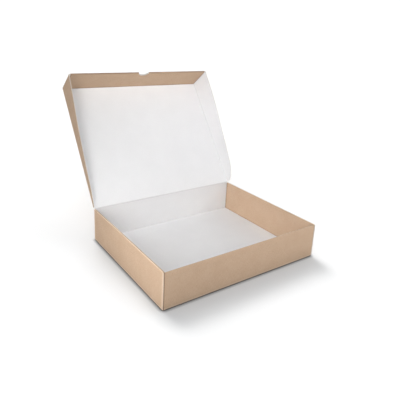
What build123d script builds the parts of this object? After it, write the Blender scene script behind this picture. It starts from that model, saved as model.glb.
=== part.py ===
from build123d import *
import os

# A flat gift box for wine bottles that lie side by side, folded from one sheet of thin fluted board.
# Kraft liner outside, white liner inside. Millimetres. Origin at the middle of the tray's underside,
# +Z up, front wall towards -Y, hinge crease of the lid along the top of the back wall at +Y.

# board and folds
BOARD = 1.1            # thickness of the board
ROLL = 3.7             # a wall rolled over itself: two boards and the space for a tab
FOLD_R = 1.2           # outside radius of a scored fold
ROLL_R = 1.0           # outside radius of the two folds on top of a rolled wall
FOOT = 0.25            # gap under the loose edge of a rolled-over layer
SLIP = 0.2             # play of a tab in the space between two layers

# tray
WIDTH = 400.0          # outside, X
DEPTH = 317.0          # outside, Y
HEIGHT = 78.4          # top of the front and side walls
CORNER_TAB = 72.0      # length of the tabs of the front and back walls, inside the side walls
LOCK_WIDTH = 30.0      # locking tabs of the side walls in the floor
LOCK_AT = 82.0         # their distance from the middle

# lid
CLEAR = 0.6            # play between the lid's flaps and the tray
HINGE_RISE = 0.85      # hinge crease above the wall tops
HINGE_RELIEF = 1.1     # radius cleared round the crease at the panel's end
LID_OPEN = 127.0       # angle of the lid from closed
FLAP_FRONT = 70.5      # depth of the front flap, outside
FLAP_BACK = 28.5       # depth of a side flap where its nose begins
FLAP_NOSE = 30.0       # slanted nose of a side flap at the hinge
FLAP_NOSE_D = 11.0     # depth left at the tip of the nose
FLAP_SPLAY = 11.5      # outward lean of a side flap near the hinge, degrees
LID_TAB = 60.0         # tabs of the side flaps inside the rolled front flap
NOTCH_R = 15.5         # round thumb notch in the free edge of the front flap
NOTCH_DROP = 3.0       # centre of the notch below the free edge

hw, hd = WIDTH / 2, DEPTH / 2
hinge_y, hinge_z = hd - BOARD / 2, HEIGHT + HINGE_RISE
os.makedirs("parts", exist_ok=True)


def block(x0, x1, y0, y1, z0, z1):
    return Pos((x0 + x1) / 2, (y0 + y1) / 2, (z0 + z1) / 2) * Box(x1 - x0, y1 - y0, z1 - z0)


def at(sketch, x, y, tol=0.01):
    return [v for v in sketch.vertices() if abs(v.X - x) < tol and abs(v.Y - y) < tol]


def outline(points, rounds):
    """A closed outline with some of its corners rounded."""
    face = make_face(Polyline(*points, close=True))
    for (x, y), r in rounds:
        face = fillet(at(face, x, y), r)
    return face


def along_y(face, y0, y1):
    """A section drawn as (x, z), drawn out from y0 to y1."""
    return Pos(0, y1, 0) * extrude(Plane.XZ * face, y1 - y0)


def along_x(face, x0, x1):
    """A section drawn as (y, z), drawn out from x0 to x1."""
    return Pos(x0, 0, 0) * extrude(Plane.YZ * face, x1 - x0)


# ---- tray: floor and the two rolled side walls, one folded section ----
i0 = hw - ROLL                 # inside face of a rolled side wall
i1 = i0 + BOARD                # its hidden face
o0 = hw - BOARD                # hidden face of the outside layer
right = [(hw, 0), (hw, HEIGHT), (i0, HEIGHT), (i0, BOARD + FOOT), (i1, BOARD + FOOT),
         (i1, HEIGHT - BOARD), (o0, HEIGHT - BOARD), (o0, BOARD)]
left = [(-x, z) for x, z in reversed(right)]
section = outline(right + left, [((s * hw, 0), FOLD_R) for s in (1, -1)]
                  + [((s * hw, HEIGHT), ROLL_R) for s in (1, -1)]
                  + [((s * i0, HEIGHT), ROLL_R) for s in (1, -1)])
inner_y = hd - BOARD - SLIP
tray = along_y(section, -inner_y, inner_y)

# the outside layers run on to the corners, past the folded edges of the front and back walls
for s in (1, -1):
    strip = outline([(s * hw, 0), (s * hw, HEIGHT - ROLL_R - 0.2), (s * o0, HEIGHT - ROLL_R - 0.2), (s * o0, 0)],
                    [((s * hw, 0), FOLD_R - 0.15)])
    tray += along_y(strip, -hd + SLIP, -inner_y + 1) + along_y(strip, inner_y - 1, hd - SLIP)

# front and back walls with their tabs, seen from above
tab_x = o0 - SLIP


def end_wall(top):
    """The front wall, up to a height: scored at the floor, and at both ends folded into tabs."""
    wall = outline([(-hd, 0), (-hd + 6, 0), (-hd + 6, BOARD), (-hd + BOARD, BOARD), (-hd + BOARD, top), (-hd, top)],
                   [((-hd, 0), FOLD_R)])
    made = along_x(wall, -tab_x + 1.5, tab_x - 1.5)
    for s in (1, -1):
        fold = outline([(s * (tab_x - 2), -hd), (s * tab_x, -hd), (s * tab_x, -hd + CORNER_TAB),
                        (s * (tab_x - BOARD), -hd + CORNER_TAB), (s * (tab_x - BOARD), -hd + BOARD),
                        (s * (tab_x - 2), -hd + BOARD)], [((s * tab_x, -hd), FOLD_R)])
        tab = Pos(0, 0, BOARD + FOOT) * extrude(fold, HEIGHT - 2 * BOARD - 2 * FOOT)
        made += tab
        # above the tab the wall ends just short of the side wall
        x0, x1 = sorted((s * (tab_x - 2), s * (tab_x - 0.3)))
        made += block(x0, x1, -hd, -hd + BOARD, HEIGHT - BOARD - 2 * FOOT, top)
        # the floor's corner under the fold
        x0, x1 = sorted((s * (tab_x - 2), s * (tab_x - 0.2)))
        made += block(x0, x1, -hd + 0.6, -hd + BOARD, 0.4, BOARD + 2 * FOOT)
    return made


tray += end_wall(HEIGHT)
tray += Rot(0, 0, 180) * end_wall(hinge_z)

# rounded top of the back wall: the crease that the lid turns on
bead = Pos(0, hinge_y, hinge_z) * Rot(0, 90, 0) * Cylinder(BOARD / 2, 2 * (tab_x - 0.3))
tray += bead

# locking tabs of the side walls in slots of the floor
for sx in (1, -1):
    for sy in (1, -1):
        yc = sy * LOCK_AT
        x0, x1 = sorted((sx * (i0 - SLIP), sx * (i1 + SLIP)))
        tray -= block(x0, x1, yc - LOCK_WIDTH / 2 - 0.5, yc + LOCK_WIDTH / 2 + 0.5, -1, BOARD + FOOT / 2)
        x0, x1 = sorted((sx * i0, sx * i1))
        tray += block(x0, x1, yc - LOCK_WIDTH / 2, yc + LOCK_WIDTH / 2, FOOT, BOARD + 2 * FOOT)

# ---- lid, made closed on the tray and then swung open about the crease ----
lx = hw + CLEAR + BOARD                    # outside of the side flaps
top = hinge_z + BOARD / 2                  # outside of the panel
under = hinge_z - BOARD / 2                # inside of the panel
fy = -hd - CLEAR - ROLL                    # outside of the front flap
edge = top - FLAP_FRONT                    # free edge of the front flap
lip = 1.6                                  # height of the scored fold along the panel's sides

# panel with the folds along its two sides
panel = outline([(-lx, top - lip), (-lx, top), (lx, top), (lx, top - lip), (lx - BOARD, top - lip),
                 (lx - BOARD, under), (-lx + BOARD, under), (-lx + BOARD, top - lip)],
                [((s * lx, top), FOLD_R - 0.15) for s in (1, -1)])
tab_y = fy + BOARD + SLIP                  # outside of the side flaps' tabs
lid = along_y(panel, tab_y, hinge_y)
lid -= Pos(0, hinge_y, hinge_z) * Rot(0, 90, 0) * Cylinder(HINGE_RELIEF, 2 * lx + 4)

# front flap rolled over itself
front = outline([(fy + 6, top), (fy, top), (fy, edge), (fy + ROLL, edge), (fy + ROLL, under - FOOT),
                 (fy + ROLL - BOARD, under - FOOT), (fy + ROLL - BOARD, edge + BOARD), (fy + BOARD, edge + BOARD),
                 (fy + BOARD, under), (fy + 6, under)],
                [((fy, top), FOLD_R), ((fy, edge), ROLL_R), ((fy + ROLL, edge), ROLL_R)])
lid += along_x(front, -lx + BOARD + SLIP, lx - BOARD - SLIP)
# its outside layer covers the ends of the side flaps
cover = outline([(fy, top - FOLD_R), (fy, edge + ROLL_R), (fy + BOARD, edge + ROLL_R), (fy + BOARD, top - FOLD_R)], [])
for s in (1, -1):
    x0, x1 = sorted((s * (lx - BOARD - SLIP - 1), s * (lx - 0.1)))
    lid += along_x(cover, x0, x1)


def flap_section(s, y, depth, lean):
    """Section of a side flap across its length: it starts inside the panel's side fold and leans out."""
    turn = Vector(s * 1.0, 0, 0)
    down = Vector(s * sin_deg(lean), 0, -cos_deg(lean))
    side = Vector(s * cos_deg(lean), 0, sin_deg(lean))
    root = Vector(s * lx, y, top - lip + 0.35)
    return [root, root + down * depth, root + down * depth - side * BOARD, root - turn * BOARD]


def sin_deg(a):
    return Vector(1, 0, 0).rotate(Axis.Z, a).Y


def cos_deg(a):
    return Vector(1, 0, 0).rotate(Axis.Z, a).X


def ruled(a, b):
    faces = [make_face(Polyline(*p, close=True)).faces()[0] for p in (a, b)]
    return loft(faces, ruled=True)


root_drop = lip - 0.35
for s in (1, -1):
    y_front, y_nose, y_tip = tab_y + BOARD, hinge_y - FLAP_NOSE, hinge_y - HINGE_RELIEF - 0.6
    fore = flap_section(s, y_front, FLAP_FRONT - root_drop, 0)
    nose = flap_section(s, y_nose, FLAP_BACK - root_drop, FLAP_SPLAY)
    tip = flap_section(s, y_tip, FLAP_NOSE_D, FLAP_SPLAY)
    lid += ruled(fore, nose)
    lid += ruled(nose, tip)
    # its front end folds into a tab between the layers of the front flap
    fold = outline([(s * lx, y_front + 0.5), (s * lx, tab_y), (s * (lx - LID_TAB), tab_y), (s * (lx - LID_TAB), tab_y + BOARD),
                    (s * (lx - BOARD), tab_y + BOARD), (s * (lx - BOARD), y_front + 0.5)], [((s * lx, tab_y), FOLD_R - 0.15)])
    lid += Pos(0, 0, edge + BOARD + FOOT) * extrude(fold, under - FOOT - edge - BOARD - FOOT)
    x0, x1 = sorted((s * (lx - BOARD), s * lx))
    lid += block(x0, x1, tab_y + 0.6, y_front + 0.5, edge, edge + 2 * BOARD)
    lid += block(x0, x1, tab_y + 0.6, y_front + 0.5, under - 2 * FOOT, top - 0.8)

# round thumb notch through both layers of the front flap
lid -= Pos(0, fy + ROLL / 2, edge - NOTCH_DROP) * Rot(90, 0, 0) * Cylinder(NOTCH_R, ROLL + 8)

lid = lid.rotate(Axis((0, hinge_y, hinge_z), (1, 0, 0)), -LID_OPEN)

for name, shape in (("tray", tray), ("lid", lid)):
    solids = shape.solids()
    print(name, "solids", len(solids), "volume", round(sum(v.volume for v in solids), 1), "box", shape.bounding_box())
    export_step(solids[0] if len(solids) == 1 else Compound(children=list(solids)), f"parts/{name}.step")
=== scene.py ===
import bpy, math
import numpy as np
from mathutils import Matrix, Vector, noise


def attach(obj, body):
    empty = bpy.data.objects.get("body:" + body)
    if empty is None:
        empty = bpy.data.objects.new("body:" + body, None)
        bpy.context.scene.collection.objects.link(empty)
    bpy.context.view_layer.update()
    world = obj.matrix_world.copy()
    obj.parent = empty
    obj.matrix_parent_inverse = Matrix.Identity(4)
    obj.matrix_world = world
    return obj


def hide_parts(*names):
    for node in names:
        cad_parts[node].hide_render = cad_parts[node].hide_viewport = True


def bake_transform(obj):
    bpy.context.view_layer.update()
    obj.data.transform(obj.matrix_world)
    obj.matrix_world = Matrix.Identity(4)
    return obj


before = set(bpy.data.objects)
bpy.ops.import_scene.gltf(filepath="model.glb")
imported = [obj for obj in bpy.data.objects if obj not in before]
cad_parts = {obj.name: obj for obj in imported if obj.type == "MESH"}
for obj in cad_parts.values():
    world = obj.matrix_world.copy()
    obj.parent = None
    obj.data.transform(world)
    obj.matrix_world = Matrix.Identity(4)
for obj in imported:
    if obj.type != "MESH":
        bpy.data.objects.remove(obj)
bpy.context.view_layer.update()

# ------------------------------------------------------------------ sizes, millimetres, as the solids have them
T = 1.1                 # board
ROLL = 3.7              # a wall rolled over itself
FR = 1.3                # outside radius of a scored fold
FB = 2.2                # the folds along the floor are rounder
FV = 2.0                # so are the upright ones at the corners
SCORE = 1.6             # how far the mark of a score runs beside its fold
RR = 1.2                # outside radius of the two folds on a rolled edge
FOOT, SLIP = 0.25, 0.2
HW, HD, H = 200.0, 158.5, 78.4
TAB, LOCK_W, LOCK_AT = 72.0, 30.0, 82.0
CLEAR, RISE, OPEN = 0.6, 0.85, math.radians(127.0)
FLAP = 70.5
LID_TAB = 60.0
NOTCH_R, NOTCH_DROP = 15.5, 3.0
CREASE = 2.0            # half width of the strip that bends at the hinge

HY, HZ = HD - T / 2, H + RISE
LX = HW + CLEAR + T                     # outside of the lid's side flaps
LEN = 2 * HD - T / 2 + CLEAR + ROLL     # hinge to the outside of the lid's front flap
I0 = HW - ROLL                          # inside face of a rolled side wall
I1 = I0 + T
TABX = HW - T - SLIP
QUARTER = math.pi / 2
U = np.array([0.0, -math.cos(OPEN), math.sin(OPEN)])      # from the hinge to the lid's front
V = np.array([0.0, -math.sin(OPEN), -math.cos(OPEN)])     # into the lid
HINGE = np.array([0.0, HY, HZ])


def lines(a, b, step, *marks):
    """Grid lines from a to b about a step apart, with the marks among them."""
    stops = sorted({round(v, 5) for v in (a, b, *marks) if a - 1e-6 <= v <= b + 1e-6})
    out = []
    for p, q in zip(stops, stops[1:]):
        n = max(1, math.ceil((q - p) / step - 1e-6))
        out += [p + (q - p) * k / n for k in range(n)]
    return np.array(out + [stops[-1]])


def smooth(t):
    t = np.clip(t, 0.0, 1.0)
    return t * t * (3 - 2 * t)


def wander(p, amount=0.11, size=85.0):
    """Slow unevenness of a folded board, the same for every layer at one place."""
    q = Vector(p) / size
    places = (Vector((3.1, 7.7, 1.9)), Vector((14.6, 2.3, 8.8)), Vector((6.4, 19.2, 12.7)))
    d = np.array([noise.noise(q + o) + 0.4 * noise.noise(q * 2.7 + o * 1.7) for o in places]) * amount
    d[2] *= float(smooth(p[2] / 14.0))
    return d


class Sheet:
    """A folded board: kraft faces on one side, white faces on the other, cut edges all round."""

    def __init__(self):
        self.at, self.pts, self.nrm, self.fold, self.quads, self.quad_uv = {}, [], [], [], [], []

    def vertex(self, p, n, fold):
        key = (round(p[0], 3), round(p[1], 3), round(p[2], 3))
        i = self.at.get(key)
        if i is None:
            i = self.at[key] = len(self.pts)
            self.pts.append(p)
            self.nrm.append(n)
            self.fold.append(fold)
        if abs(fold) > abs(self.fold[i]):
            self.fold[i] = fold
        return i

    def patch(self, P, N, UV, skip=None, fold=0.0):
        a, b = P.shape[:2]
        N = np.broadcast_to(N, P.shape)
        F = np.broadcast_to(fold, (a, b))
        ids = [[self.vertex(P[i, j], N[i, j], float(F[i, j])) for j in range(b)] for i in range(a)]
        for i in range(a - 1):
            for j in range(b - 1):
                if skip is not None and skip(i, j):
                    continue
                at = [(i, j), (i + 1, j), (i + 1, j + 1), (i, j + 1)]
                face = np.cross(P[i + 1, j + 1] - P[i, j], P[i, j + 1] - P[i + 1, j])
                if face @ (N[i, j] + N[i + 1, j + 1]) < 0:
                    at.reverse()
                self.quads.append([ids[x][y] for x, y in at])
                self.quad_uv.append([UV[x, y] for x, y in at])

    def make(self, name, materials):
        pts, nrm = np.array(self.pts), np.array(self.nrm)
        nrm /= np.linalg.norm(nrm, axis=1)[:, None]
        pts = pts + np.array([wander(p) for p in pts])
        n = len(pts)
        back = pts - nrm * T
        edges = {}
        for q, uv in zip(self.quads, self.quad_uv):
            for k in range(4):
                e = (q[k], q[(k + 1) % 4])
                if (e[1], e[0]) in edges:
                    edges[(e[1], e[0])] = None
                else:
                    edges[e] = (uv[k], uv[(k + 1) % 4])
        faces, uvs, mats = [], [], []
        for q, uv in zip(self.quads, self.quad_uv):
            faces.append(q); uvs += uv; mats.append(0)
        for q, uv in zip(self.quads, self.quad_uv):
            faces.append([i + n for i in reversed(q)]); uvs += uv[::-1]; mats.append(1)
        for (i, j), ab in edges.items():
            if ab is None:
                continue
            a, b = ab
            faces.append([j, i, i + n, j + n])
            # across the flutes an edge shows their wave, along them it shows their side
            uvs += [(b[0], 0.0), (a[0], 0.0), (a[0], 1000.0), (b[0], 1000.0)]
            mats.append(2)
        mesh = bpy.data.meshes.new(name)
        mesh.from_pydata((np.vstack([pts, back]) * 0.001).tolist(), [], faces)
        layer = mesh.uv_layers.new(name="blank")
        layer.data.foreach_set("uv", (np.array(uvs, float) * 0.001).astype(np.float32).ravel())
        mesh.polygons.foreach_set("material_index", mats)
        score_wear_and_shade = mesh.attributes.new("score_wear_and_shade", "FLOAT", "POINT")
        mark = np.array(self.fold, np.float32)
        # the kraft side takes the marks as they are; the white side takes every mark as a grey line: a crease mark at
        # the folds, and painted shade where the mark is negative
        score_wear_and_shade.data.foreach_set("value", np.concatenate([mark, np.where(mark > 0, mark, -0.6 * mark)]))
        mesh.polygons.foreach_set("use_smooth", [True] * len(faces))
        for m in materials:
            mesh.materials.append(m)
        mesh.validate()
        mesh.update()
        mesh.set_sharp_from_angle(angle=math.radians(40))
        obj = bpy.data.objects.new(name, mesh)
        bpy.context.scene.collection.objects.link(obj)
        return obj


def stack(x, y, z):
    return np.stack(np.broadcast_arrays(x, y, z), -1).astype(float)


def uvgrid(u, v):
    return np.stack(np.broadcast_arrays(u, v), -1).astype(float)


ARC = np.linspace(0.0, 1.0, 7)


# ------------------------------------------------------------------ finishes
def rgb(*c):
    return (*[((v / 255 + 0.055) / 1.055) ** 2.4 if v > 10 else v / 255 / 12.92 for v in c], 1.0)


class Nodes:
    def __init__(self, name):
        self.mat = bpy.data.materials.new(name)
        self.mat.use_nodes = True
        self.tree = self.mat.node_tree
        self.tree.nodes.clear()
        self.out = self.add("ShaderNodeOutputMaterial")
        self.bsdf = self.add("ShaderNodeBsdfPrincipled")
        self.link(self.bsdf.outputs["BSDF"], self.out.inputs["Surface"])

    def add(self, kind, **values):
        node = self.tree.nodes.new(kind)
        for k, v in values.items():
            setattr(node, k, v)
        return node

    def link(self, a, b):
        self.tree.links.new(a, b)

    def math(self, op, a, b=None, c=None):
        node = self.add("ShaderNodeMath", operation=op)
        for i, v in enumerate((a, b, c)):
            if v is None:
                continue
            if isinstance(v, (int, float)):
                node.inputs[i].default_value = v
            else:
                self.link(v, node.inputs[i])
        return node.outputs[0]

    def mapped(self, scale, rotation=0.0, offset=(0, 0, 0)):
        uv = self.add("ShaderNodeUVMap", uv_map="blank")
        m = self.add("ShaderNodeMapping")
        m.inputs["Scale"].default_value = scale
        m.inputs["Rotation"].default_value = (0, 0, rotation)
        m.inputs["Location"].default_value = offset
        self.link(uv.outputs[0], m.inputs["Vector"])
        return m.outputs[0]

    def noise(self, vec, scale, detail=3.0, rough=0.55):
        t = self.add("ShaderNodeTexNoise", noise_dimensions="2D")
        t.inputs["Scale"].default_value = scale
        t.inputs["Detail"].default_value = detail
        t.inputs["Roughness"].default_value = rough
        self.link(vec, t.inputs["Vector"])
        return t.outputs["Fac"]

    def span(self, value, a, b, lo, hi):
        m = self.add("ShaderNodeMapRange", clamp=True)
        for k, v in zip(("From Min", "From Max", "To Min", "To Max"), (a, b, lo, hi)):
            m.inputs[k].default_value = v
        self.link(value, m.inputs["Value"])
        return m.outputs["Result"]

    def mix(self, fac, a, b, blend="MIX"):
        m = self.add("ShaderNodeMix", data_type="RGBA", blend_type=blend)
        for sock, v in ((m.inputs[0], fac), (m.inputs[6], a), (m.inputs[7], b)):
            if isinstance(v, (int, float)):
                sock.default_value = v
            elif isinstance(v, tuple):
                sock.default_value = v
            else:
                self.link(v, sock)
        return m.outputs[2]

    def bump(self, height, distance, strength=1.0, under=None):
        b = self.add("ShaderNodeBump")
        b.inputs["Strength"].default_value = strength
        b.inputs["Distance"].default_value = distance
        self.link(height, b.inputs["Height"])
        if under is not None:
            self.link(under, b.inputs["Normal"])
        return b.outputs["Normal"]


def flutes(n, period=0.0024):
    """Faint lines of the fluting under the liner, along the sheet's length."""
    uv = n.add("ShaderNodeUVMap", uv_map="blank")
    sep = n.add("ShaderNodeSeparateXYZ")
    n.link(uv.outputs[0], sep.inputs[0])
    phase = n.math("MULTIPLY", sep.outputs[0], 2 * math.pi / period)
    return n.math("SINE", phase)


def kraft_liner():
    n = Nodes("kraft_liner")
    light, mid, dark = rgb(192, 166, 142), rgb(184, 157, 132), rgb(170, 142, 117)
    score_wear_and_shade = n.add("ShaderNodeAttribute", attribute_name="score_wear_and_shade").outputs["Fac"]
    cloud = n.noise(n.mapped((1, 1, 1)), 34.0, 4.0, 0.6)
    fibre_long = n.noise(n.mapped((900, 160, 1)), 1.0, 3.0, 0.6)
    fibre_slant = n.noise(n.mapped((260, 1100, 1), 0.6), 1.0, 3.0, 0.6)
    speck = n.noise(n.mapped((1, 1, 1), 0.0, (3, 5, 0)), 1900.0, 1.0, 0.4)
    wave = flutes(n)
    tone = n.mix(n.span(cloud, 0.25, 0.75, 0.2, 0.8), mid, light)
    tone = n.mix(n.span(fibre_long, 0.5, 0.78, 0.0, 0.55), tone, dark)
    tone = n.mix(n.span(fibre_slant, 0.55, 0.8, 0.0, 0.4), tone, rgb(201, 180, 155))
    tone = n.mix(n.span(speck, 0.69, 0.78, 0.0, 0.5), tone, rgb(124, 98, 76))
    tone = n.mix(n.span(wave, -1.0, 1.0, 0.0, 0.05), tone, dark)
    # a rubbed fold is paler, as wear and, on edges facing the lamps, as painted highlight; negative marks are painted
    # shade, darkening seams, corners and the undersides of the floor folds
    wear_and_highlight = n.math("MULTIPLY", n.span(score_wear_and_shade, 0.0, 1.0, 0.0, 1.0), n.span(fibre_slant, 0.35, 0.65, 0.4, 0.75))
    tone = n.mix(wear_and_highlight, tone, rgb(222, 204, 185))
    tone = n.mix(n.span(score_wear_and_shade, -1.0, 0.0, 0.8, 0.0), tone, rgb(116, 88, 64))
    n.link(tone, n.bsdf.inputs["Base Color"])
    n.link(n.span(fibre_long, 0.3, 0.7, 0.78, 0.92), n.bsdf.inputs["Roughness"])
    n.bsdf.inputs["Specular IOR Level"].default_value = 0.22
    height = n.math("ADD", n.math("MULTIPLY", fibre_long, 0.6), n.math("MULTIPLY", fibre_slant, 0.4))
    under = n.bump(wave, 0.00003, 0.6)
    n.link(n.bump(height, 0.00005, 0.5, under), n.bsdf.inputs["Normal"])
    return n.mat


def white_liner():
    n = Nodes("white_liner")
    score_wear_and_shade = n.add("ShaderNodeAttribute", attribute_name="score_wear_and_shade").outputs["Fac"]
    cloud = n.noise(n.mapped((1, 1, 1), 0.0, (1, 2, 0)), 22.0, 3.0, 0.5)
    fibre = n.noise(n.mapped((700, 240, 1), 0.3), 1.0, 3.0, 0.6)
    wave = flutes(n)
    tone = n.mix(n.span(cloud, 0.3, 0.7, 0.0, 1.0), rgb(228, 228, 229), rgb(230, 230, 231))
    tone = n.mix(n.span(fibre, 0.5, 0.8, 0.0, 0.35), tone, rgb(219, 217, 216))
    tone = n.mix(n.span(wave, -1.0, 1.0, 0.0, 0.05), tone, rgb(212, 210, 210))
    # grey at the marks: a crease mark at each fold, and painted shade in the inside corners and seams
    tone = n.mix(n.math("MULTIPLY", score_wear_and_shade, 0.35), tone, rgb(188, 186, 185))
    n.link(tone, n.bsdf.inputs["Base Color"])
    n.link(n.span(fibre, 0.3, 0.7, 0.55, 0.7), n.bsdf.inputs["Roughness"])
    n.bsdf.inputs["Specular IOR Level"].default_value = 0.25
    under = n.bump(wave, 0.00002, 0.5)
    n.link(n.bump(fibre, 0.00003, 0.4, under), n.bsdf.inputs["Normal"])
    return n.mat


def cut_edge(name, web, hollow_shade, liner, fluff):
    """The board's cut edge: the wave of the fluting between its liners, the hollows between the flutes painted darker
    as shade.
    """
    n = Nodes(name)
    uv = n.add("ShaderNodeUVMap", uv_map="blank")
    sep = n.add("ShaderNodeSeparateXYZ")
    n.link(uv.outputs[0], sep.inputs[0])
    across = sep.outputs[1]
    centre = n.math("MULTIPLY_ADD", n.math("SINE", n.math("MULTIPLY", sep.outputs[0], 2 * math.pi / 0.0024)), 0.32, 0.5)
    off = n.math("ABSOLUTE", n.math("SUBTRACT", across, centre))
    # the hollows of the flutes take the darker tone as painted shade
    tone = n.mix(n.span(off, 0.07, 0.2, 0.0, 1.0), rgb(*web), rgb(*hollow_shade))
    tone = n.mix(n.span(across, 0.12, 0.18, 1.0, 0.0), tone, rgb(*liner))
    tone = n.mix(n.span(across, 0.80, 0.86, 0.0, 1.0), tone, rgb(232, 226, 219))
    grain = n.noise(n.mapped((1, 1, 1)), 1500.0, 2.0, 0.5)
    tone = n.mix(n.span(grain, 0.4, 0.7, 0.0, 0.3), tone, rgb(*fluff))
    n.link(tone, n.bsdf.inputs["Base Color"])
    n.link(n.span(grain, 0.3, 0.7, 0.85, 0.95), n.bsdf.inputs["Roughness"])
    n.bsdf.inputs["Specular IOR Level"].default_value = 0.15
    return n.mat


BOARD_FACES = [kraft_liner(), white_liner(), cut_edge("cut_edge", (212, 196, 178), (178, 158, 138), (192, 168, 145), (196, 178, 158))]
# the lid takes a paler copy of the cut edge than the tray: painted highlight on the lid's edges
LID_FACES = [*BOARD_FACES[:2], cut_edge("cut_edge_lit_copy", (234, 228, 220), (208, 197, 184), (216, 203, 188), (220, 210, 198))]

# ------------------------------------------------------------------ tray
tray = Sheet()
LIP = HD - FB                                    # where the floor ends at the front and back folds
slots = [s * LOCK_AT + k * (LOCK_W / 2 + e) for s in (1, -1) for k in (1, -1) for e in (0.0, 0.5)]
YL = lines(-LIP, LIP, 7.0, *slots, *[k * (LIP - v) for k in (1, -1) for v in (SCORE, 3.0, 4.5)])
XL = lines(-HW + FB, HW - FB, 8.0, *[s * v for s in (1, -1) for v in (I0 - SLIP, I1 + SLIP, TABX - FV, TABX - FV - SCORE)])
WX = XL[np.abs(XL) <= TABX - FV + 1e-6]          # where the front and back walls join the floor


def in_slot(x, y):
    return I0 - SLIP < abs(x) < I1 + SLIP and abs(abs(y) - LOCK_AT) < LOCK_W / 2 + 0.5


x, y = XL[:, None], YL[None, :]
bow = 0.35 * np.clip(1 - (x / (HW - FB)) ** 2, 0, 1) * np.clip(1 - (y / LIP) ** 2, 0, 1)
# the floor's white inside is painted greyer along the front and back folds, a crease mark and painted shade where floor
# meets wall; its kraft underside is paler there
tray.patch(stack(x, y, bow), np.array([0, 0, -1.0]), uvgrid(x, y),
           lambda i, j: in_slot((XL[i] + XL[i + 1]) / 2, (YL[j] + YL[j + 1]) / 2), 0.75 * smooth(1 - (LIP - np.abs(y)) / 4.5))

ZW = lines(FB, H - RR, 7.0, FB + SCORE, FB + 3.0, H - RR - SCORE)                      # heights on the outside layer of a side wall
ZI = lines(FOOT, H - RR, 7.0, T + FOOT, T + FOOT + 1.5, T + FOOT + 3.0, H - RR - SCORE)          # heights on its inside layer
YW = lines(-HD + SLIP, HD - SLIP, 7.0, *YL, *[k * (HD - v) for k in (1, -1) for v in (1.5, 4.0, 7.0)])
CURVE = np.array([0.5, 0.85, 1.0, 1.0, 1.0, 0.85, 0.5])   # mark of a score across its fold
UNDER_SHADE_AND_WEAR = np.array([0.0, -0.6, -1.0, -1.0, -0.8, -0.2, 0.5])    # along the floor: painted shade below, paler above as wear and painted highlight
SEAM_SHADE = np.array([-0.1, -0.75, -1.0, -1.0, -1.0, -1.0, -1.0])  # an upright fold is painted dark as shade, shut away behind a side wall
for s in (1, -1):
    a = ARC[:, None] * QUARTER
    y = YL[None, :]
    tray.patch(stack(s * (HW - FB + FB * np.sin(a)), y, FB - FB * np.cos(a)),
               stack(s * np.sin(a), 0 * y, -np.cos(a)), uvgrid(s * (HW - FB + FB * a), y), fold=UNDER_SHADE_AND_WEAR[:, None])
    u0 = HW - FB + FB * QUARTER
    z, y = ZW[:, None], YW[None, :]
    lean = 0.45 * smooth((z - FB) / (H - RR - FB)) * np.clip(1 - (y / HD) ** 2, 0, 1)
    # paler at the foot and at the ends of the outside layer: wear, and painted highlight along these edges
    rub_and_highlight = np.maximum(0.9 * smooth(1 - (z - FB) / 3.0), 0.8 * smooth((np.abs(y) - HD + 7.0) / 5.5))
    tray.patch(stack(s * (HW - lean), y, z), np.array([s, 0, 0.0]), uvgrid(s * (u0 + z - FB), y), fold=rub_and_highlight)
    u1 = u0 + H - RR - FB
    y = YL[None, :]
    sag = 0.45 * np.clip(1 - (y / HD) ** 2, 0, 1)
    # The rolled top is paler on the left wall, as wear and painted highlight; on the right wall its outside fold and
    # top are painted darker, as shade.
    tray.patch(stack(s * (HW - RR + RR * np.cos(a) - sag), y, H - RR + RR * np.sin(a)),
               stack(s * np.cos(a), 0 * y, np.sin(a)), uvgrid(s * (u1 + RR * a), y), fold=(0.9 if s < 0 else -0.3) * CURVE[:, None])
    u2 = u1 + RR * QUARTER
    w = np.linspace(0, ROLL - 2 * RR, 3)[:, None]
    tray.patch(stack(s * (HW - RR - w - sag), y, H), np.array([0, 0, 1.0]), uvgrid(s * (u2 + w), y), fold=0.0 if s < 0 else -0.25)
    u3 = u2 + ROLL - 2 * RR
    tray.patch(stack(s * (I0 + RR - RR * np.sin(a) - sag), y, H - RR + RR * np.cos(a)),
               stack(-s * np.sin(a), 0 * y, np.cos(a)), uvgrid(s * (u3 + RR * a), y), fold=(0.9 if s < 0 else 0.2) * CURVE[:, None])
    u4 = u3 + RR * QUARTER
    z = ZI[:, None]
    lean = 0.45 * smooth((z - FB) / (H - RR - FB)) * np.clip(1 - (y / HD) ** 2, 0, 1)
    # painted shade on the inside layer where it meets the front and back walls and the floor
    corner_shade = -np.maximum(0.7 * smooth((np.abs(y) - LIP + 4.5) / 4.0), 0.55 * smooth(1 - (z - T - FOOT) / 3.0))
    tray.patch(stack(s * (I0 - lean), y, z), np.array([-s, 0, 0.0]), uvgrid(s * (u4 + H - RR - z), y), fold=corner_shade, skip=
               lambda i, j: ZI[i] < T + FOOT - 1e-6 and abs(abs((YL[j] + YL[j + 1]) / 2) - LOCK_AT) > LOCK_W / 2)

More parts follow.
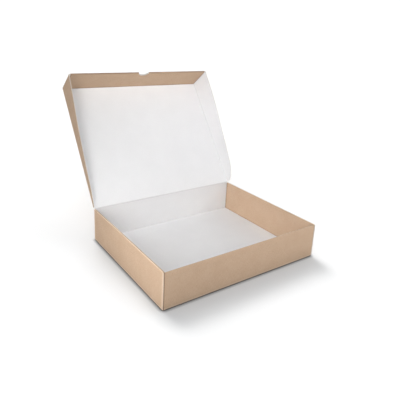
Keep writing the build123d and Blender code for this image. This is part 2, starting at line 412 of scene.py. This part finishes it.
TAB_TOP = H - T - 0.25
for sy, top in ((-1, H), (1, HZ - CREASE)):
    a = ARC[:, None] * QUARTER
    x = WX[None, :]
    tray.patch(stack(x, sy * (LIP + FB * np.sin(a)), FB - FB * np.cos(a)),
               stack(0 * x, sy * np.sin(a), -np.cos(a)), uvgrid(x, sy * (LIP + FB * a)), fold=UNDER_SHADE_AND_WEAR[:, None])
    v0 = LIP + FB * QUARTER
    ZE = lines(FB, top, 7.0, TAB_TOP, FB + SCORE, FB + 3.0, top - 1.2, top - 3.0)
    z = ZE[:, None]
    belly = (0.5 if sy < 0 else 0.0) * smooth((z - FB) / (top - FB)) * np.clip(1 - (x / TABX) ** 2, 0, 1)
    # paler low on the kraft outside, and a little near the front wall's top, as wear and painted highlight; the white
    # inside is painted greyer low down, as shade at the fold
    tray.patch(stack(x, sy * (HD + belly), z), np.array([0, sy, 0.0]), uvgrid(x, sy * (v0 + z - FB)), fold=np.maximum(0.75 * smooth(1 - (z - FB) / 3.0), (0.1 if sy < 0 else 0.0) * smooth((z - top + 3.0) / 2.5)))
    for s in (1, -1):
        z = ZE[:, None]
        a = ARC[None, :] * QUARTER
        tray.patch(stack(s * (TABX - FV + FV * np.sin(a)), sy * (HD - FV + FV * np.cos(a)), z),
                   stack(s * np.sin(a), sy * np.cos(a), 0 * z), uvgrid(s * (TABX - FV + FV * a), sy * (v0 + z - FB)), fold=SEAM_SHADE[None, :])
        z = ZE[ZE <= TAB_TOP + 1e-6][:, None]
        w = lines(0, TAB - FV, 9.0)[None, :]
        tray.patch(stack(s * TABX, sy * (HD - FV - w), z), np.array([s, 0, 0.0]),
                   uvgrid(s * (TABX - FV + FV * QUARTER + w), sy * (v0 + z - FB)))

tray_sheet = tray.make("tray_sheet", BOARD_FACES)

# ------------------------------------------------------------------ lid, drawn as (x, distance from hinge, depth)
lid = Sheet()


def lid_patch(P, N, UV, skip=None, fold=0.0):
    def turn(A):
        return A[..., :1] * np.array([1.0, 0, 0]) + A[..., 1:2] * U + A[..., 2:] * V
    N = np.broadcast_to(N, P.shape)
    lid.patch(HINGE + turn(P), turn(N), UV, skip, fold)


D0 = -T / 2                                      # outside of the panel
DE = D0 + FLAP                                   # free edge of the front flap
XE = LX - FR
BAND, WIN = 22.0, 24.0                           # the field round the thumb notch
VB = LIP + FB * QUARTER + HZ - FB                # length along the sheet at the hinge
XP = lines(-XE, XE, 8.0, -WIN, WIN, XE - SCORE, SCORE - XE, *np.linspace(-WIN, WIN, 13))
SF = LEN - T - SLIP - FR                         # where a side flap turns into its tab
SL = lines(CREASE, LEN - FR, 8.0, SF, LEN - FR - SCORE - 1.3, *np.arange(4.0, 44.0, 4.0))

x, sd = XP[:, None], SL[None, :]
crown = 0.9 * np.clip(1 - (x / XE) ** 2, 0, 1) * np.sin(np.pi * np.clip(sd / (LEN - FR), 0, 1)) * smooth((sd - CREASE) / 30)
lid_patch(stack(x, sd, D0 - crown), np.array([0, 0, -1.0]), uvgrid(x, VB + sd))


def easy(s, at, value):
    """A smooth curve through the points, without overshoot."""
    at, value = np.array(at), np.array(value)
    h, d = np.diff(at), np.diff(value) / np.diff(at)
    m = np.r_[d[0], np.where(d[:-1] * d[1:] > 0, 2 * d[:-1] * d[1:] / (d[:-1] + d[1:] + 1e-12), 0.0), d[-1]]
    k = np.clip(np.searchsorted(at, s) - 1, 0, len(h) - 1)
    t = (s - at[k]) / h[k]
    return ((1 + 2 * t) * (1 - t) ** 2 * value[k] + t * (1 - t) ** 2 * h[k] * m[k]
            + t * t * (3 - 2 * t) * value[k + 1] + t * t * (t - 1) * h[k] * m[k + 1])


def flap_depth(s):
    return easy(s, [0, 10, 20, 40, 80, 160, 240, SF, LEN], [10.5, 17.2, 23.6, 30.6, 37.6, 49.3, 61.5, FLAP, FLAP + 0.3])


def flap_lean(s):
    t = s / LEN
    return np.radians(11.6 - 8.9 * t - 1.9 * t * t)


SS = SL[SL <= SF + 1e-6]
for sg in (1, -1):
    s = SS[:, None]
    phi = flap_lean(s)
    a = ARC[None, :] * (QUARTER - phi)
    lid_patch(stack(sg * (XE + FR * np.sin(a)), s, D0 + FR - FR * np.cos(a)),
              stack(sg * np.sin(a), 0 * s, -np.cos(a)), uvgrid(sg * (XE + FR * ARC[None, :] * QUARTER), VB + s), fold=CURVE[None, :] * (0.15 + 0.85 * smooth((s - 90) / 130)))
    root = stack(sg * (XE + FR * np.cos(phi)), s, D0 + FR - FR * np.sin(phi))
    down = stack(sg * np.sin(phi), 0 * s, np.cos(phi))
    out = stack(sg * np.cos(phi), 0 * s, -np.sin(phi))
    run = flap_depth(s) - FR
    last = FLAP - FR
    TL = np.unique(np.round(np.concatenate([np.linspace(0, 1, 11), [0.035, 1 - 1.5 / last]]), 5))
    t = TL[None, :]
    curl = 0.9 * np.sin(np.pi * np.clip(s / LEN, 0, 1)) * (run / last) * (t * t)   # the free edge bows a little
    P = root + down * (run * t)[..., None] + out * curl[..., None]
    lid_patch(P, np.broadcast_to(out, P.shape), uvgrid(sg * (XE + FR * QUARTER + run * t), VB + s))
    # the front end turns into a tab that is held between the layers of the front flap
    end, o = P[-1], out[-1, 0]
    front = np.array([0, 1.0, 0])
    a = (ARC * QUARTER)[None, :, None]
    lid_patch(end[:, None, :] - o * FR + FR * (o * np.cos(a) + front * np.sin(a)),
              np.broadcast_to(o * np.cos(a) + front * np.sin(a), (len(end), len(ARC), 3)),
              uvgrid(sg * (XE + FR * QUARTER + last * TL[:, None]), VB + SF + FR * QUARTER * ARC[None, :]), fold=CURVE[None, :])
    keep = end[1:-1] - o * FR + front * FR
    w = lines(0, LID_TAB, 10.0)[None, :, None]
    lid_patch(keep[:, None, :] - o * w, np.broadcast_to(front, (len(keep), w.shape[1], 3)),
              uvgrid(sg * (XE + FR * QUARTER + last * TL[1:-1, None]), VB + SF + FR * QUARTER + w[..., 0]))

# front flap: fold, outside layer, rolled edge, inside layer, with the thumb notch through all of it
a = ARC[None, :] * QUARTER
x = XP[:, None]
lid_patch(stack(x, LEN - FR + FR * np.sin(a), D0 + FR - FR * np.cos(a)),
          stack(0 * x, np.sin(a), -np.cos(a)), uvgrid(x, VB + LEN - FR + FR * a), fold=CURVE[None, :])
V1 = VB + LEN - FR + FR * QUARTER
DB = DE - RR                                     # where the rolled edge starts
DN = DB - BAND
half = math.sqrt(NOTCH_R ** 2 - (RR + NOTCH_DROP) ** 2)
RINGS = np.linspace(0, 1, 7) ** 1.25
SIDE = np.linspace(DB, DN, 7)
rim_out = [(WIN, d) for d in SIDE] + [(xx, DN) for xx in XP[(XP < WIN - 1e-6) & (XP > -WIN + 1e-6)][::-1]] + [(-WIN, d) for d in SIDE[::-1]]
rim_out = np.array(rim_out)
turns = np.linspace(math.asin((RR + NOTCH_DROP) / NOTCH_R), math.pi - math.asin((RR + NOTCH_DROP) / NOTCH_R), len(rim_out))
rim_in = np.stack([NOTCH_R * np.cos(turns), DE + NOTCH_DROP - NOTCH_R * np.sin(turns)], 1)


inside = lines(XP[1], XP[-2], 8.0, *XP[1:-1], *[k * (XE - v) for k in (1, -1) for v in (2.5, 4.5)])   # short of the side flaps


def flap_corner_shade(x, d):
    """Painted shade where the inside layer of the front flap meets the panel and the side flaps."""
    return -np.maximum(1.0 * smooth(1 - (d - T / 2 - FOOT) / 4.2), 0.9 * smooth((np.abs(x) - XE + 4.5) / 4.0))


def layer(at, facing, length, wide, low):
    """One layer of the front flap, from the lid's panel to the rolled edge."""
    xs = np.concatenate([[-LX + 0.1], XP, [LX - 0.1]]) if wide else inside
    n = np.array([0, facing, 0.0])
    x, d = xs[:, None], lines(low, DN, 7.0, low + 1.4, low + 2.8, low + 4.2)[None, :]
    lid_patch(stack(x, at, d), n, uvgrid(x, length(d)), fold=0.0 if wide else flap_corner_shade(x, d))
    for keep in (xs <= -WIN + 1e-6, xs >= WIN - 1e-6):
        x, d = xs[keep][:, None], SIDE[::-1][None, :]
        lid_patch(stack(x, at, d), n, uvgrid(x, length(d)), fold=0.0 if wide else flap_corner_shade(x, d))
    ring = RINGS[None, :, None]
    field = rim_in[:, None, :] * (1 - ring) + rim_out[:, None, :] * ring
    lid_patch(stack(field[..., 0], at, field[..., 1]), n, uvgrid(field[..., 0], length(field[..., 1])))


layer(LEN, 1.0, lambda d: V1 + d - D0 - FR, True, D0 + FR)
V2 = V1 + DB - D0 - FR
ends = half + (WIN - half) * RINGS
for xs in (inside[inside <= -WIN + 1e-6], -ends[::-1], ends, inside[inside >= WIN - 1e-6]):
    x = xs[:, None]
    # the rolled top edge of the front flap is painted darker on its kraft, as shade
    lid_patch(stack(x, LEN - RR + RR * np.cos(a), DB + RR * np.sin(a)), stack(0 * x, np.cos(a), np.sin(a)), uvgrid(x, V2 + RR * a), fold=-0.8 * CURVE[None, :])
    w = np.linspace(0, ROLL - 2 * RR, 3)[None, :]
    lid_patch(stack(x, LEN - RR - w, DE), np.array([0, 0, 1.0]), uvgrid(x, V2 + RR * QUARTER + w), fold=-0.7)
    lid_patch(stack(x, LEN - ROLL + RR - RR * np.sin(a), DB + RR * np.cos(a)), stack(0 * x, -np.sin(a), np.cos(a)),
              uvgrid(x, V2 + RR * QUARTER + ROLL - 2 * RR + RR * a), fold=-0.5 * CURVE[None, ::-1])
V3 = V2 + 2 * RR * QUARTER + ROLL - 2 * RR
layer(LEN - ROLL, -1.0, lambda d: V3 + DB - d, False, T / 2 + FOOT)

lid_sheet = lid.make("lid_sheet", LID_FACES)

# ------------------------------------------------------------------ the scored strip that bends between back wall and lid
crease = Sheet()
q = np.linspace(-CREASE, CREASE, 17)[:, None]
al = smooth((q + CREASE) / (2 * CREASE)) * (OPEN - QUARTER)
x = WX[None, :]
crease.patch(stack(x, HY + T / 2 * np.cos(al) + q * np.sin(al), HZ - T / 2 * np.sin(al) + q * np.cos(al)),
             stack(0 * x, np.cos(al), -np.sin(al)), uvgrid(x, VB + q), fold=1 - (q / CREASE) ** 2)
hinge_crease = crease.make("hinge_crease", BOARD_FACES)

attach(tray_sheet, "tray")
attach(lid_sheet, "lid")
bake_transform(hinge_crease)
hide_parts("tray")
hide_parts("lid")

# ------------------------------------------------------------------ floor, light, camera
floor_mesh = bpy.data.meshes.new("floor")
R, K = 9.0, 64
floor_mesh.from_pydata([(R * math.cos(2 * math.pi * k / K), R * math.sin(2 * math.pi * k / K), -0.0002) for k in range(K)], [], [list(range(K))])
floor = bpy.data.objects.new("floor", floor_mesh)
bpy.context.scene.collection.objects.link(floor)
fl = bpy.data.materials.new("pale_floor")
fl.use_nodes = True
fb = fl.node_tree.nodes["Principled BSDF"]
# painted shade on the floor: darker within a few millimetres of the box, as contact shadow
contact_shade = fl.node_tree.nodes.new("ShaderNodeAmbientOcclusion")
contact_shade.samples = 8
contact_shade.inputs["Distance"].default_value = 0.008
contact_shade_depth = fl.node_tree.nodes.new("ShaderNodeMath")
contact_shade_depth.operation = "POWER"
contact_shade_depth.inputs[1].default_value = 1.6
tint = fl.node_tree.nodes.new("ShaderNodeMix")
tint.data_type = "RGBA"
tint.inputs[6].default_value = (0.03, 0.025, 0.022, 1)
tint.inputs[7].default_value = (0.58, 0.585, 0.59, 1)
fl.node_tree.links.new(contact_shade.outputs["AO"], contact_shade_depth.inputs[0])
fl.node_tree.links.new(contact_shade_depth.outputs[0], tint.inputs[0])
fl.node_tree.links.new(tint.outputs[2], fb.inputs["Base Color"])
fb.inputs["Roughness"].default_value = 0.9
fb.inputs["Specular IOR Level"].default_value = 0.1
floor_mesh.materials.append(fl)

# a white wall all round, which only the camera sees
wall_mesh = bpy.data.meshes.new("backdrop")
ring = [(R * math.cos(2 * math.pi * k / K), R * math.sin(2 * math.pi * k / K)) for k in range(K)]
wall_mesh.from_pydata([(x, y, z) for z in (-0.0002, 8.0) for x, y in ring], [], [[k, (k + 1) % K, K + (k + 1) % K, K + k] for k in range(K)])
wall = bpy.data.objects.new("backdrop", wall_mesh)
bpy.context.scene.collection.objects.link(wall)
wm = bpy.data.materials.new("white_wall")
wm.use_nodes = True
wb = wm.node_tree.nodes["Principled BSDF"]
wb.inputs["Base Color"].default_value = (0, 0, 0, 1)
wb.inputs["Roughness"].default_value = 1.0
wb.inputs["Specular IOR Level"].default_value = 0.0
wb.inputs["Emission Color"].default_value = (1, 1, 1, 1)
wb.inputs["Emission Strength"].default_value = 1.1
wall_mesh.materials.append(wm)
wall.visible_diffuse = wall.visible_glossy = wall.visible_shadow = wall.visible_transmission = False

world = bpy.data.worlds.new("studio")
world.use_nodes = True
bg = world.node_tree.nodes["Background"]
bg.inputs["Color"].default_value = (1, 1, 1, 1)
bg.inputs["Strength"].default_value = 0.02
bpy.context.scene.world = world

# the table and the box are lit apart: the table to an even white with the box's shadow, the box by soft lamps
table = bpy.data.collections.new("table")
table.objects.link(floor)
box, base, cover = [bpy.data.collections.new(n) for n in ("box", "base", "cover")]
for piece in (tray_sheet, lid_sheet, hinge_crease):
    box.objects.link(piece)
    (cover if piece is lid_sheet else base).objects.link(piece)


def softbox(name, at, to, size, power, spread=180.0, on=box):
    data = bpy.data.lights.new(name, "AREA")
    data.shape = "DISK"
    data.size = size
    data.energy = power
    data.spread = math.radians(spread)
    obj = bpy.data.objects.new(name, data)
    obj.location = at
    obj.rotation_mode = "QUATERNION"
    obj.rotation_quaternion = (Vector(to) - Vector(at)).to_track_quat("-Z", "Y")
    obj.visible_camera = False
    obj.light_linking.receiver_collection = on
    bpy.context.scene.collection.objects.link(obj)


def even(name, at, wide, strength, tint):
    """Parallel light on the table, from a direction, as soft as the angle is wide."""
    data = bpy.data.lights.new(name, "SUN")
    data.angle = math.radians(wide)
    data.energy = strength
    data.color = tint
    obj = bpy.data.objects.new(name, data)
    obj.rotation_mode = "QUATERNION"
    obj.rotation_quaternion = (-Vector(at)).to_track_quat("-Z", "Y")
    obj.light_linking.receiver_collection = table
    bpy.context.scene.collection.objects.link(obj)


MID = (0, 0.05, 0.12)
softbox("key", (-0.75, -0.3, 1.0), (0.1, -0.1, 0.05), 0.5, 7.3, on=base)
softbox("front_left_low", (-1.9, -1.9, 0.8), MID, 1.2, 17.1)
softbox("front_right_high", (1.5, -1.5, 2.1), MID, 1.6, 3.2, on=base)
softbox("above", (0.0, -0.2, 1.3), (0, 0, 0), 0.6, 1.71, on=base)
softbox("left", (-0.95, -0.35, 0.5), (-0.1, -0.1, 0.05), 0.4, 1.04, on=base)
softbox("on_left_wall", (-0.8, -0.35, 0.35), (-0.2, -0.12, 0.04), 0.25, 0.082, 50)
softbox("on_left_wall_back", (-1.2, 0.3, 0.4), (-0.2, 0.05, 0.04), 0.2, 0.0085, 14)
softbox("on_front_wall", (0.55, -0.75, 0.4), (0.15, -0.158, 0.04), 0.25, 0.271, 60)
softbox("on_front_wall_middle", (0.1, -1.2, 0.3), (0.0, -0.158, 0.04), 0.2, 0.00216, 12)
softbox("on_right_wall", (-0.9, -0.2, 0.32), (0.2, 0.0, 0.045), 0.2, 0.0123, 16)
softbox("on_right_wall_back", (-0.9, -0.3, 0.4), (0.2, 0.1, 0.045), 0.2, 0.0125, 8)
softbox("on_right_wall_front", (-0.9, -0.3, 0.4), (0.2, -0.12, 0.05), 0.2, 0.0124, 8)
softbox("on_back_wall", (0.6, -0.6, 0.8), (-0.16, 0.155, 0.05), 0.25, 0.0313, 24)
softbox("on_back_wall_left", (0.3, -0.8, 0.9), (-0.17, 0.157, 0.045), 0.2, 0.0096, 8)
softbox("on_lid_front", (0.5, -0.9, 0.3), (0.05, 0.33, 0.34), 0.25, 0.0322, 40)
softbox("on_lid_top", (0.1, -1.3, 0.35), (0.04, 0.32, 0.30), 0.2, 0.017, 14)
softbox("on_lid_left", (0.9, -0.7, 0.6), (-0.19, 0.28, 0.26), 0.2, 0.00294, 12)
softbox("on_lid_right", (-1.2, -0.5, 0.5), (0.2, 0.28, 0.25), 0.2, 0.0312, 12)
softbox("on_tray", (-0.9, -0.7, 0.7), (0.1, -0.05, 0.04), 0.3, 0.158, 40)
TOP = (0, 0.25, 0.24)
softbox("lid_left", (-1.0, -1.0, 1.1), TOP, 0.5, 6.18, on=cover)
softbox("lid_middle_left", (-0.4, -1.3, 1.3), TOP, 0.5, 5.11, on=cover)
softbox("lid_middle_right", (0.5, -1.3, 1.3), TOP, 0.5, 3.37, on=cover)
softbox("lid_low_left", (-1.5, -1.2, 0.7), TOP, 0.8, 4.58, on=cover)
softbox("lid_right", (1.2, -1.0, 1.1), TOP, 0.5, 2.34, on=cover)
softbox("lid_back_high", (0.2, 1.6, 2.2), TOP, 1.0, 15.0, on=cover)
softbox("back", (0.2, 2.4, 1.2), (0, 0.15, 0.15), 1.4, 22.0)
softbox("back_right", (2.2, 0.9, 0.7), (0, 0, 0.1), 1.2, 9.0)
COOL, WARM = (0.94, 1.0, 1.05), (1.025, 1.0, 0.979)
even("table_front_left", (-0.6, -0.9, 1.0), 60.0, 1.75, COOL)
even("table_front_low", (0.0, -1.0, 0.6), 50.0, 0.2, COOL)
even("table_left", (-1.0, 0.2, 1.3), 40.0, 0.45, COOL)
even("table_right", (1.0, 0.0, 1.4), 60.0, 1.45, WARM)
even("table_behind", (0.0, 1.0, 0.9), 34.0, 1.63, WARM)
even("table_behind_wide", (0.0, 1.0, 1.0), 60.0, 0.66, WARM)
even("table_behind_middle", (0.15, 1.0, 1.2), 20.0, 0.71, WARM)
even("table_behind_right", (0.3, 1.0, 1.5), 30.0, 0.96, WARM)

cam_data = bpy.data.cameras.new("camera")
cam = bpy.data.objects.new("camera", cam_data)
bpy.context.scene.collection.objects.link(cam)
right = Vector((0.8268438, -0.5607906, 0.0429319))
down = Vector((-0.1218957, -0.2531973, -0.9597044))
ahead = Vector((0.5490635, 0.7882925, -0.2777126))
m = Matrix((right, -down, -ahead)).transposed().to_4x4()
m.translation = Vector((-0.54813, -0.72288, 0.48903))
cam.matrix_world = m
cam_data.sensor_width = 36.0
cam_data.lens = 427.746 / 400 * 36.0
cam_data.shift_x, cam_data.shift_y = 0.025, -0.115
cam_data.clip_start, cam_data.clip_end = 0.01, 50.0
bpy.context.scene.camera = cam

view = bpy.context.scene.view_settings
view.view_transform = "Standard"
view.look = "None"
view.exposure = 0.0
view.gamma = 1.0
bpy.context.scene.cycles.use_denoising = True
